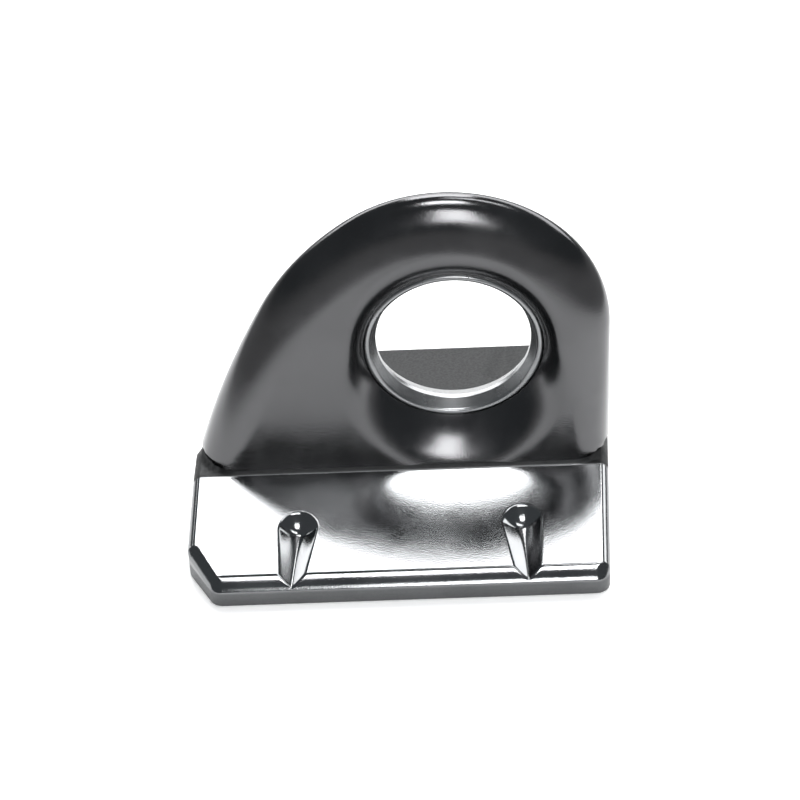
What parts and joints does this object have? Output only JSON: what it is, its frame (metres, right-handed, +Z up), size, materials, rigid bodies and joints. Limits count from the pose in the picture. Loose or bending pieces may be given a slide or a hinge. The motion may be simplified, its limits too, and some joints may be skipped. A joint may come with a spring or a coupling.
{
  "type": "eye horn fitting",
  "caption": "Polished metal eye horn on a flanged, grooved track base, a boat fitting that a rope, hook or shackle passes through.",
  "frame": {"origin": "middle of the base's footprint, on the face that it rests on", "axes": "+X along the fitting towards the horn's upright side, +Y from the front flange to the rear flange, +Z up out of the base"},
  "size_m": [0.0626, 0.0528, 0.0525],
  "materials": {
    "plate_metal": "mirror-polished stainless front flange and rims, satin rear flange",
    "horn_metal": "polished stainless casting with a fine grain",
    "liner_metal": "polished",
    "screw_metal": "turned stainless",
    "dowel_metal": "ground and hardened"
  },
  "bodies": {
    "root": {"base_plate": "plate_metal", "eye_horn": "horn_metal", "eye_liner": "liner_metal", "horn_screws": "screw_metal", "horn_dowels": "dowel_metal"}
  },
  "joints": []
}
